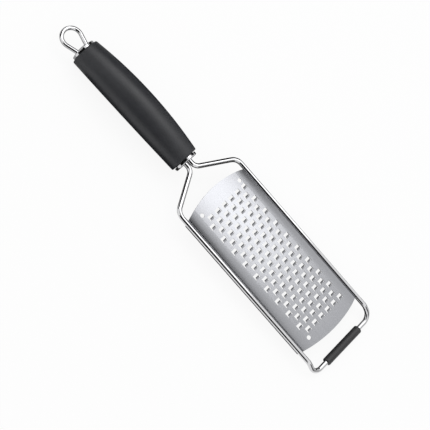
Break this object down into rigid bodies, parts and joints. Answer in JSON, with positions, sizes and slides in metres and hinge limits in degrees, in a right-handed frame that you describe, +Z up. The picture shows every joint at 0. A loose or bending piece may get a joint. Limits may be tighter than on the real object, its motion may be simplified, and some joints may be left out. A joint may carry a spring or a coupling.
{
  "type": "rasp zester",
  "caption": "Hand-held coarse rasp zester: a toothed, crowned steel blade on a bent wire frame with a rubber foot sleeve, a soft arched grip and a wire hanging loop.",
  "frame": {"origin": "middle of the outline box, level with the lowest point of the grip", "axes": "+X runs along the tool from the hanging loop to the foot, +Y across it to the left as seen from the grip, and +Z up, out of the toothed face. The two rails lie level. Laid on a table the tool rests on the foot sleeve and the butt end of the grip, tilted by about two degrees from this frame."},
  "size_m": [0.3332, 0.0744, 0.0346],
  "materials": {
    "polished_wire": "polished stainless rod",
    "polished_cap": "polished stainless cup",
    "brushed_sheet": "brushed along the tool",
    "sleeve_rubber": "matte",
    "soft_skin": "matte, soft to the touch",
    "hard_core": "matte"
  },
  "bodies": {
    "root": {"wire_frame": "polished_wire", "rasp_blade": "brushed_sheet", "foot_sleeve": "sleeve_rubber", "handle_grip": "soft_skin", "handle_core": "hard_core", "front_cap": "polished_cap", "butt_cap": "polished_cap", "hanging_loop": "polished_wire"}
  },
  "joints": []
}
